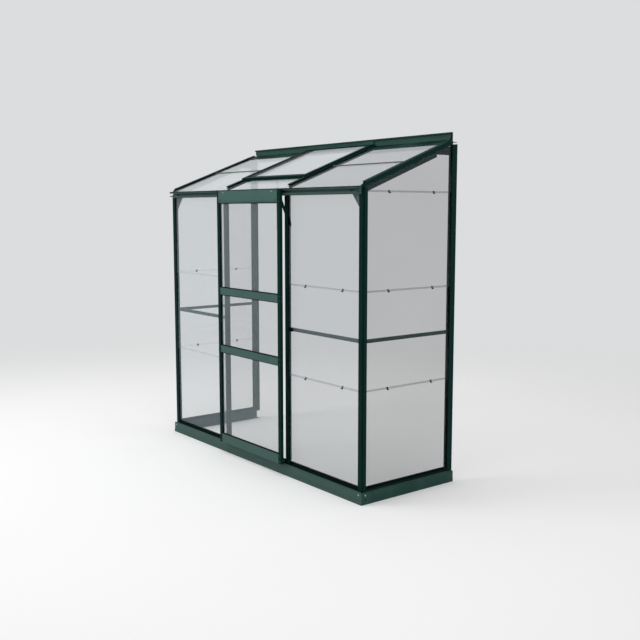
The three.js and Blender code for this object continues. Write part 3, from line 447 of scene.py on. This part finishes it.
# Painted reflections that the panes add as their own tone: strong on the front and the door,
# weak on the ends, and on the roof weaker to the right
REFLECTION_LEFT = (0.130, 0.155, 0.170)
REFLECTION_DOOR = (0.135, 0.155, 0.163)
REFLECTION_RIGHT = (0.100, 0.118, 0.128)
REFLECTION_END = (0.034, 0.041, 0.044)
REFLECTION_ROOF_LEFT = (0.086, 0.093, 0.096)
REFLECTION_ROOF_MIDDLE = (0.080, 0.086, 0.089)
REFLECTION_ROOF_RIGHT = (0.056, 0.061, 0.063)
LEFT_BANDS = ((-0.395, -0.355), (-0.865, -0.895))
MIDDLE_BANDS = ((-0.195, -0.235),)
RIGHT_BANDS = ((0.395, 0.355),)

# Where a pane's name starts so: its normal, the share of light let through and its painted
# reflection. The shares are partly the glass's own and partly painted shade, least on the left
# end and most on the door and the right
UPRIGHT_PANES = {
    "front_left": (Y, 0.72, REFLECTION_LEFT),
    "front_right": (Y, 0.62, REFLECTION_RIGHT),
    "door": (Y, 0.60, REFLECTION_DOOR),
    "end_left": (X, 0.91, scaled(REFLECTION_END, 0.5)),
    "end_right": (X, 0.60, REFLECTION_END),
}
ROOF_PANES = {
    "roof_left": (REFLECTION_ROOF_LEFT, LEFT_BANDS),
    "roof_right": (REFLECTION_ROOF_RIGHT, RIGHT_BANDS),
    "roof_middle": (REFLECTION_ROOF_MIDDLE, MIDDLE_BANDS),
}
ROOF_THROUGH = 0.85
ROOF_GLOSS = 0.05
FINISHES = {
    "base": BASE,
    "corner_post": CORNER,
    "door_roller": NYLON,
    "door_middle": RAIL,
    "door_top": RAIL,
    "door_bottom": RAIL,
    "eaves": CHANNEL,
    "ridge": RIDGE,
    "brace": BRACE,
    "gusset": BRACE,
    "vent_frame": VENT,
    "vent_stay": ZINC,
}
for start, values in UPRIGHT_PANES.items():
    FINISHES["pane_" + start] = glass("glass_" + start, *values)
for start, (painted_reflection, bands) in ROOF_PANES.items():
    FINISHES["pane_" + start] = glass(
        "glass_" + start, ROOF_NORMAL, ROOF_THROUGH, painted_reflection, ROOF_GLOSS, bands
    )
FINISHES["vent_pane"] = FINISHES["pane_roof_middle"]

for name in nodes:
    starts = [start for start in FINISHES if name.startswith(start)]
    slots = nodes[name].data.materials
    slots.clear()
    slots.append(FINISHES[starts[0]] if starts else BAR)

# Outlines and smoothing
CORNER_TURNS = (0, 30, 60, 90)
LEAST_MITRE = 0.3
TURNING_STEPS = 20
CREASE = math.radians(35)
STRIP_RADIUS = 0.0006


def rounded(left, right, low, high, radius):
    """A rectangle's outline with rounded corners."""
    points = []
    for across, up, start in (
        (right - radius, high - radius, 0),
        (left + radius, high - radius, 90),
        (left + radius, low + radius, 180),
        (right - radius, low + radius, 270),
    ):
        for turn in CORNER_TURNS:
            angle = math.radians(start + turn)
            points.append((across + radius * math.cos(angle), up + radius * math.sin(angle)))
    return points


def strip_outline(path, thickness):
    """Outline of a thin bent strip along a path of points."""
    left, right = [], []
    for index, point in enumerate(path):
        before = Vector(path[max(index - 1, 0)])
        after = Vector(path[min(index + 1, len(path) - 1)])
        here = Vector(point)
        first = (here - before).normalized() if index else (after - here).normalized()
        second = (after - here).normalized() if index < len(path) - 1 else first
        square = Vector((-first.y, first.x))
        bisector = (square + Vector((-second.y, second.x))).normalized()
        reach = thickness / 2 / max(bisector.dot(square), LEAST_MITRE)
        left.append(tuple(here + bisector * reach))
        right.append(tuple(here - bisector * reach))
    return left + right[::-1]


class Shapes:
    """Solids gathered into one mesh. Each is placed by a matrix from (across, outward,
    along) to the object's own frame."""

    def __init__(self):
        self.mesh = bmesh.new()

    def skin(self, rings):
        """Joins the rings and closes both ends."""
        count = len(rings[0])
        for low, high in zip(rings, rings[1:]):
            for index in range(count):
                other = (index + 1) % count
                self.mesh.faces.new((low[index], low[other], high[other], high[index]))
        self.mesh.faces.new(rings[0][::-1])
        self.mesh.faces.new(rings[-1])

    def drawn(self, outline, place, start, end, order):
        """The outline drawn out from start to end. order says which of the outline's two
        axes, 0 and 1, and the drawing's, 2, lie across, outward and along."""
        rings = []
        for reach in (start, end):
            ring = []
            for first, second in outline:
                parts = (first, second, reach)
                point = Vector([parts[axis] for axis in order])
                ring.append(self.mesh.verts.new(place @ point))
            rings.append(ring)
        self.skin(rings)

    def prism(self, outline, place, start, end):
        """outline in (across, outward), drawn out along the bar."""
        self.drawn(outline, place, start, end, (0, 1, 2))

    def cross(self, outline, place, start, end):
        """outline in (outward, along), drawn out across the bar."""
        self.drawn(outline, place, start, end, (2, 0, 1))

    def plate(self, outline, place, start, end):
        """outline in (across, along), with its thickness outward."""
        self.drawn(outline, place, start, end, (0, 2, 1))

    def strip(self, place, across, outward, along, radius=STRIP_RADIUS):
        """A rounded strip that runs along the bar."""
        self.prism(rounded(*sorted(across), *outward, radius), place, *along)

    def rail(self, place, across, outward, along, radius=STRIP_RADIUS):
        """A rounded strip that runs across the bar."""
        self.cross(rounded(*outward, *sorted(along), radius), place, *sorted(across))

    def turned(self, profile, place, across, along, base):
        """(radius, height) profile turned about the outward axis."""
        rings = []
        for radius, height in profile:
            ring = []
            for step in range(TURNING_STEPS):
                angle = 2 * math.pi * step / TURNING_STEPS
                point = (
                    across + radius * math.cos(angle),
                    base + height,
                    along + radius * math.sin(angle),
                )
                ring.append(self.mesh.verts.new(place @ Vector(point)))
            rings.append(ring)
        self.skin(rings)

    def piece(self, name, body, material):
        """Makes the mesh an object that rides on the body."""
        bmesh.ops.recalc_face_normals(self.mesh, faces=self.mesh.faces)
        data = bpy.data.meshes.new(name)
        self.mesh.to_mesh(data)
        self.mesh.free()
        for polygon in data.polygons:
            polygon.use_smooth = True
        data.materials.append(material)
        made = bpy.data.objects.new(name, data)
        bpy.context.scene.collection.objects.link(made)
        edges = made.modifiers.new("crisp", "EDGE_SPLIT")
        edges.split_angle = CREASE
        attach(made, body)


# Heads of the bolts and screws, and the black plugs that stand for holes as painted shade
# inside them, as (radius, height)
DOME = (
    (0.0046, 0.0),
    (0.0050, 0.0004),
    (0.0046, 0.0016),
    (0.0034, 0.0027),
    (0.0020, 0.0031),
    (0.0016, 0.0023),
    (0.0004, 0.0022),
)
SMALL_DOME_WIDTH = 0.75
SMALL_DOME_HEIGHT = 0.7
SMALL_DOME = tuple(
    (radius * SMALL_DOME_WIDTH, height * SMALL_DOME_HEIGHT) for radius, height in DOME
)
HOLE_SHADE_PLUG = ((0.0036, 0.0), (0.0036, 0.0002), (0.0012, 0.0003))

# Strips on the glass. The first values are how far they stand off the glass and the cap,
# how wide they are and how far they lie back from the cap's edge.
SEAL_OFF_GLASS = 0.0003
SEAL_OFF_CAP = 0.0001
SEAL_WIDTH = 0.0065
SEAL_BACK = 0.0006
REAR_SEAL_OUT = (0.0355, 0.0405)
REAR_SEAL_TOP = 0.0050
END_RAFTER_RUN = (0.034, 0.640)
MIDDLE_RAFTER_RUN = (0.036, 0.660)
LOWER_PANE_RUN = (0.036, 0.138)


def cap_seals():
    """Black glazing strip between each cap and the glass, a little back from the cap's edge."""
    shapes = Shapes()
    under = (GLASS + SEAL_OFF_GLASS, CAP_UNDER - SEAL_OFF_CAP)
    rear = (GLASS + SEAL_OFF_GLASS, REAR_SEAL_TOP)
    inner, outer = CAP_HALF - SEAL_WIDTH, CAP_HALF - SEAL_BACK
    corner_edge = GLASS_OUT + CAP_TOP - 2 * CAP_HALF
    corner = (corner_edge + SEAL_BACK, corner_edge + SEAL_WIDTH)
    for side in SIDES:
        post = (side * (POST_EDGE + SEAL_BACK), side * (POST_EDGE + SEAL_WIDTH))
        near_bar = (side * (MULLION - inner), side * (MULLION - outer))
        far_bar = (side * (MULLION + inner), side * (MULLION + outer))
        for across in (near_bar, far_bar, post):
            shapes.strip(FRONT, across, under, (BAR_FOOT, BAR_HEAD))
        shapes.strip(END[side], corner, under, (BAR_FOOT, BAR_HEAD))
        shapes.strip(END[side], REAR_SEAL_OUT, rear, (BAR_FOOT, POST_HEAD))
        shapes.strip(ROOF, post, under, END_RAFTER_RUN)
        shapes.strip(ROOF, far_bar, under, MIDDLE_RAFTER_RUN)
        shapes.strip(ROOF, near_bar, under, LOWER_PANE_RUN)
    shapes.piece("seal_caps", "frame", SEAL)


# Section of the sill's strip, as (off the glass's inner face, height)
SILL_SEAL = (
    (GLASS + 0.0002, 0.0660),
    (0.0051, 0.0660),
    (0.0051, 0.0712),
    (0.0072, 0.0722),
    (0.0072, 0.0800),
    (0.0056, 0.0830),
    (GLASS + 0.0002, 0.0836),
)


def sill_seals():
    """Rubber foot strip that stands between the sill's lip and the glass."""
    shapes = Shapes()
    for side in SIDES:
        shapes.cross(SILL_SEAL, FRONT, *sorted(side * edge for edge in FRONT_BAY))
        shapes.cross(SILL_SEAL, END[side], *END_SILL)
    shapes.piece("seal_sill", "frame", SEAL)


# Lap clips: their places along the panes, and their bends from the joint and the glass
FRONT_CLIPS = (0.472, 0.783)
END_CLIPS = {-1: (0.1721, 0.4836), 1: (0.161, 0.472)}
CLIP_HALF_WIDTH = 0.0042
CLIP_STRIP = 0.0007
CLIP_BACK = -0.0004
CLIP_BETWEEN = GLASS + PANE_LIFT / 2 - 0.0014
CLIP_PROUD = 2 * GLASS + PANE_LIFT + 0.0005
CLIP_HEEL = 0.002
CLIP_PLAY = 0.0005
CLIP_DROP = 0.0042
CLIP_TOE = 0.0018


def lap_clips():
    """Bent clips that hang each pane on the pane below it."""
    shapes = Shapes()

    def clip(place, centre, joint):
        path = (
            (CLIP_BACK, joint + CLIP_HEEL),
            (CLIP_BACK, joint + PANE_LAP + CLIP_PLAY),
            (CLIP_BETWEEN, joint + PANE_LAP + CLIP_PLAY),
            (CLIP_BETWEEN, joint - CLIP_DROP),
            (CLIP_PROUD, joint - CLIP_DROP),
            (CLIP_PROUD, joint + CLIP_TOE),
        )
        edges = (centre - CLIP_HALF_WIDTH, centre + CLIP_HALF_WIDTH)
        shapes.cross(strip_outline(path, CLIP_STRIP), place, *edges)

    for centre in FRONT_CLIPS:
        for joint in FRONT_JOINTS:
            clip(FRONT, centre, joint)
    for side in SIDES:
        for centre in END_CLIPS[side]:
            for joint in END_JOINTS:
                clip(END[side], centre, joint)
    shapes.piece("clips_lap", "frame", NYLON)


# Outlines of the packings beside the right glazing bar, which they lie a little under
PACKING_EDGE = MULLION + CAP_HALF - 0.002
PACKINGS = (
    ((PACKING_EDGE, 0.8178), (0.3600, 0.8178), (0.3604, 0.8350), (PACKING_EDGE, 0.8362)),
    ((PACKING_EDGE, 1.3960), (0.3475, 1.3960), (0.3360, 1.4370), (PACKING_EDGE, 1.4370)),
)
PACKING_DEPTH = (GLASS + 0.0002, GLASS + 0.0060)


def brace_packings():
    """Black packing pieces where the braces bolt on."""
    shapes = Shapes()
    for outline in PACKINGS:
        shapes.plate(outline, FRONT, *PACKING_DEPTH)
    shapes.piece("packings_brace", "frame", SEAL)


LAP_SEAL_DEPTH = (GLASS + 0.0001, GLASS + PANE_LIFT + 0.0012)
LAP_SEAL_RUN = (ROOF_JOINT - 0.0030, ROOF_JOINT + 0.0040)
LAP_SEAL_RADIUS = 0.0003


def roof_laps():
    """Strip of sealant along the lap of the roof's panes."""
    shapes = Shapes()
    for side in SIDES:
        across = [side * edge for edge in ROOF_BAY]
        shapes.rail(ROOF, across, LAP_SEAL_DEPTH, LAP_SEAL_RUN, LAP_SEAL_RADIUS)
    shapes.piece("seal_roof_laps", "frame", SEALANT)


# Outlines of the closures on each side, as (out, height)
CLOSURES = {
    -1: ((0.0205, 1.808), (0.0495, 1.808), (0.0495, 1.8362), (0.0205, 1.8472)),
    1: ((0.0290, 1.808), (0.0495, 1.808), (0.0495, 1.8345), (0.0290, 1.8345)),
}
CLOSURE_EDGES = (0.9190, 0.9445)


def ridge_closures():
    """Closures behind the end rafters' caps, below the ridge bar."""
    shapes = Shapes()
    for side in SIDES:
        shapes.cross(CLOSURES[side], FACE, *sorted(side * edge for edge in CLOSURE_EDGES))
    shapes.piece("closures_ridge", "frame", BAR)


# The door's glazing channel: lips on both faces of the glass, and their edges from the frame
DOOR_LIPS = (
    (DOOR_GLASS - 0.0024, DOOR_GLASS - 0.0001),
    (DOOR_GLASS + GLASS + 0.0001, DOOR_GLASS + GLASS + 0.0024),
)
DOOR_LIP_EDGES = (DOOR_INNER - 0.0055, DOOR_INNER + 0.0008)
DOOR_LIP_HALF = DOOR_INNER - 0.006
DOOR_LIP_UNDER = 0.0004
DOOR_LIP_REACH = 0.0050


def door_seals():
    """Black glazing channel round each pane of the door, front and back."""
    shapes = Shapes()
    for low, high in DOOR_PANES:
        for lip in DOOR_LIPS:
            for side in SIDES:
                shapes.strip(FACE, [side * edge for edge in DOOR_LIP_EDGES], lip, (low, high))
            for edge, inward in ((low, 1), (high, -1)):
                along = (edge - inward * DOOR_LIP_UNDER, edge + inward * DOOR_LIP_REACH)
                shapes.rail(FACE, (-DOOR_LIP_HALF, DOOR_LIP_HALF), lip, along)
    shapes.piece("seal_door", "door", SEAL)


# The door's screws: on its top rail as (across, height), and at heights on its stiles
HEADER_SCREWS = ((0.2860, 1.5790), (0.2860, 1.5335), (0.2745, 1.5335))
STILE_SCREW = 0.3085
STILE_SCREW_HEIGHTS = (1.521, 1.009, 0.984, 0.663, 0.633, 0.117, 0.085)
STILE_SIDE_SCREW_OUT = 0.6890
STILE_SIDE_SCREW_HEIGHTS = (1.0095, 0.9835, 0.6605, 0.6345)


def door_fixings():
    """Bolts of the rollers' axles and the screws of the door's frame."""
    bolts = Shapes()
    screws = Shapes()
    for side in SIDES:
        bolts.turned(SMALL_DOME, FACE, side * ROLLER[0], ROLLER[1], HEADER_FACE)
        for across, height in HEADER_SCREWS:
            screws.turned(SMALL_DOME, FACE, side * across, height, HEADER_FACE)
        for height in STILE_SCREW_HEIGHTS:
            screws.turned(SMALL_DOME, FACE, side * STILE_SCREW, height, DOOR_FACE)
        for height in STILE_SIDE_SCREW_HEIGHTS:
            screws.turned(SMALL_DOME, SIDE[side], STILE_SIDE_SCREW_OUT, height, DOOR_SIDE)
    bolts.piece("bolts_door_rollers", "door", BRIGHT)
    screws.piece("screws_door", "door", COATED_SCREW)


# Nylon skins on both sides of the guide blocks, and on their backs
GUIDE = 0.270
SHOE_INNER = 0.0200
SHOE_OUTER = 0.0206
SHOE_HEIGHTS = (0.0616, 0.0800)
SHOE_SIDE_OUT = (0.6510, 0.6790)
SHOE_SIDE_RADIUS = 0.0002
SHOE_BACK_OUT = (0.6500, 0.6504)
SHOE_BACK_RADIUS = 0.0001


def door_guides():
    """Nylon shoes on the guide blocks at the door's foot."""
    shapes = Shapes()
    for side in SIDES:
        centre = side * GUIDE
        for edges in ((-SHOE_OUTER, -SHOE_INNER), (SHOE_INNER, SHOE_OUTER)):
            across = [centre + edge for edge in edges]
            shapes.strip(FACE, across, SHOE_SIDE_OUT, SHOE_HEIGHTS, SHOE_SIDE_RADIUS)
        across = (centre - SHOE_OUTER, centre + SHOE_OUTER)
        shapes.strip(FACE, across, SHOE_BACK_OUT, SHOE_HEIGHTS, SHOE_BACK_RADIUS)
    shapes.piece("shoes_door", "door", NYLON)


BEADS = (-0.3140, -0.3005, 0.3005, 0.3140)
BEAD_HALF = 0.0022
BEAD_OUT = (0.6772, 0.6806)
BEAD_HEIGHTS = (0.130, 1.512)
BEAD_RADIUS = 0.0012


def door_bumpers():
    """Rubber beads along the backs of the stiles."""
    shapes = Shapes()
    for centre in BEADS:
        across = (centre - BEAD_HALF, centre + BEAD_HALF)
        shapes.strip(FACE, across, BEAD_OUT, BEAD_HEIGHTS, BEAD_RADIUS)
    shapes.piece("seal_door_back", "door", SEAL)


# The frame's fixings, as (across, height) on the front and (out, height) on the sides
BASE_FRONT_BOLT = (0.9364, 0.0493)
BASE_SIDE_BOLT = (0.6342, 0.0481)
BASE_HOLE = (0.6313, 0.0250)
BASE_REAR_SCREW = (0.030, 0.0400)
POST_SCREW_OUT = 0.0100
POST_SCREW_HEIGHTS = (0.14, 0.55, 0.96, 1.37, 1.76)
RIDGE_SCREWS = (-0.86, -0.45, 0.45, 0.86)
RIDGE_SCREW_HEIGHT = 1.850


def frame_fixings():
    """Bolts, screws and drain holes of the fixed frame; each hole is a black plug, painted
    shade.
    """
    bright = Shapes()
    coated = Shapes()
    holes = Shapes()
    for side in SIDES:
        across, height = BASE_FRONT_BOLT
        bright.turned(DOME, FACE, side * across, height, BASE_FRONT)
        bright.turned(DOME, SIDE[side], *BASE_SIDE_BOLT, BASE_SIDE)
        # Black plugs, painted shade inside the drain holes
        holes.turned(HOLE_SHADE_PLUG, SIDE[side], *BASE_HOLE, BASE_SIDE)
        coated.turned(SMALL_DOME, SIDE[side], *BASE_REAR_SCREW, BASE_SIDE)
        for height in POST_SCREW_HEIGHTS:
            coated.turned(SMALL_DOME, SIDE[side], POST_SCREW_OUT, height, POST_SIDE)
    for across in RIDGE_SCREWS:
        coated.turned(SMALL_DOME, FACE, across, RIDGE_SCREW_HEIGHT, RIDGE_FLANGE)
    bright.piece("bolts_frame", "frame", BRIGHT)
    holes.piece("holes_frame", "frame", SEAL)
    coated.piece("screws_frame", "frame", COATED_SCREW)


# The vent's pane: its half width, its run up the slope, and the strip's size round it
VENT_HALF = 0.290
VENT_RUN = (0.169, 0.664)
VENT_SEAL_HEIGHT = (0.0186, 0.0208)
VENT_SEAL_WIDTH = 0.0075
VENT_SEAL_LAP = 0.0001


def vent_seals():
    """Black strip round the vent's pane."""
    shapes = Shapes()
    half = VENT_HALF - VENT_SEAL_WIDTH - VENT_SEAL_LAP
    for side in SIDES:
        across = (side * (VENT_HALF - VENT_SEAL_WIDTH), side * (VENT_HALF + VENT_SEAL_LAP))
        shapes.strip(ROOF, across, VENT_SEAL_HEIGHT, VENT_RUN)
    for edge, inward in zip(VENT_RUN, (1, -1)):
        along = (edge, edge + inward * VENT_SEAL_WIDTH)
        shapes.rail(ROOF, (-half, half), VENT_SEAL_HEIGHT, along)
    shapes.piece("seal_vent", "vent", SEAL)


cap_seals()
sill_seals()
lap_clips()
brace_packings()
roof_laps()
ridge_closures()
door_seals()
door_fixings()
door_guides()
door_bumpers()
frame_fixings()
vent_seals()


def seen_directly(tree):
    """1 for rays from the camera, or seen in a reflection or through glass."""
    seen = node(tree, "ShaderNodeLightPath").outputs
    first = math_node(tree, "MAXIMUM", seen["Is Camera Ray"], seen["Is Glossy Ray"])
    return math_node(tree, "MAXIMUM", first, seen["Is Transmission Ray"])


def mixed_shader(tree, factor, first, second):
    inputs = {0: factor, 1: first.outputs[0], 2: second.outputs[0]}
    return node(tree, "ShaderNodeMixShader", inputs).outputs[0]


def backdrop():
    """Even light from all around, and the background's tone where it is seen."""
    world = bpy.data.worlds.new("studio")
    bpy.context.scene.world = world
    world.use_nodes = True
    tree = world.node_tree
    ambient = tree.nodes["Background"]
    ambient.inputs["Color"].default_value = WHITE
    ambient.inputs["Strength"].default_value = AMBIENT
    shown = node(
        tree, "ShaderNodeBackground", {"Color": BACKGROUND, "Strength": SHOWN_STRENGTH}
    )
    chosen = mixed_shader(tree, seen_directly(tree), ambient, shown)
    tree.links.new(chosen, tree.nodes["World Output"].inputs["Surface"])


def studio_floor():
    """Pale floor that fades into the background."""
    sheet = bmesh.new()
    half = FLOOR_SIZE / 2
    corners = [(-half, -half, 0), (half, -half, 0), (half, half, 0), (-half, half, 0)]
    sheet.faces.new([sheet.verts.new(corner) for corner in corners])
    data = bpy.data.meshes.new("floor")
    sheet.to_mesh(data)
    sheet.free()
    floor = bpy.data.objects.new("floor", data)
    bpy.context.scene.collection.objects.link(floor)
    material = bpy.data.materials.new("floor")
    material.use_nodes = True
    tree = material.node_tree
    tree.nodes.remove(tree.nodes["Principled BSDF"])
    matt = node(tree, "ShaderNodeBsdfDiffuse", {"Color": FLOOR_COLOUR})
    far = node(tree, "ShaderNodeEmission", {"Color": BACKGROUND, "Strength": SHOWN_STRENGTH})
    place = node(tree, "ShaderNodeTexCoord").outputs["Object"]
    reach = node(tree, "ShaderNodeVectorMath", {0: place}, operation="LENGTH")
    strength = math_node(tree, "MULTIPLY", seen_directly(tree), FLOOR_GLOW)
    glow = node(tree, "ShaderNodeEmission", {"Strength": strength})
    near = node(tree, "ShaderNodeAddShader", {0: matt.outputs[0], 1: glow.outputs[0]})
    fade = ramp(tree, reach.outputs["Value"], FLOOR_NEAR, FLOOR_FAR)
    blend = mixed_shader(tree, fade, near, far)
    tree.links.new(blend, tree.nodes["Material Output"].inputs["Surface"])
    data.materials.append(material)


def lamps():
    for name, location, size, power in LAMPS:
        light = bpy.data.lights.new(name, "AREA")
        light.shape = "DISK"
        light.size = size
        light.energy = power
        lamp = bpy.data.objects.new(name, light)
        lamp.location = location
        aim = Vector(LIGHT_TARGET) - Vector(location)
        lamp.rotation_euler = aim.to_track_quat("-Z", "Y").to_euler()
        bpy.context.scene.collection.objects.link(lamp)


def camera():
    lens = bpy.data.cameras.new("camera")
    lens.lens = CAMERA_LENS
    lens.sensor_width = CAMERA_SENSOR
    lens.sensor_height = CAMERA_SENSOR
    made = bpy.data.objects.new("camera", lens)
    made.location = CAMERA_AT
    made.rotation_euler = [math.radians(turn) for turn in CAMERA_TURN_DEGREES]
    bpy.context.scene.collection.objects.link(made)
    bpy.context.scene.camera = made


backdrop()
studio_floor()
lamps()
camera()
bpy.context.scene.view_settings.view_transform = "Standard"
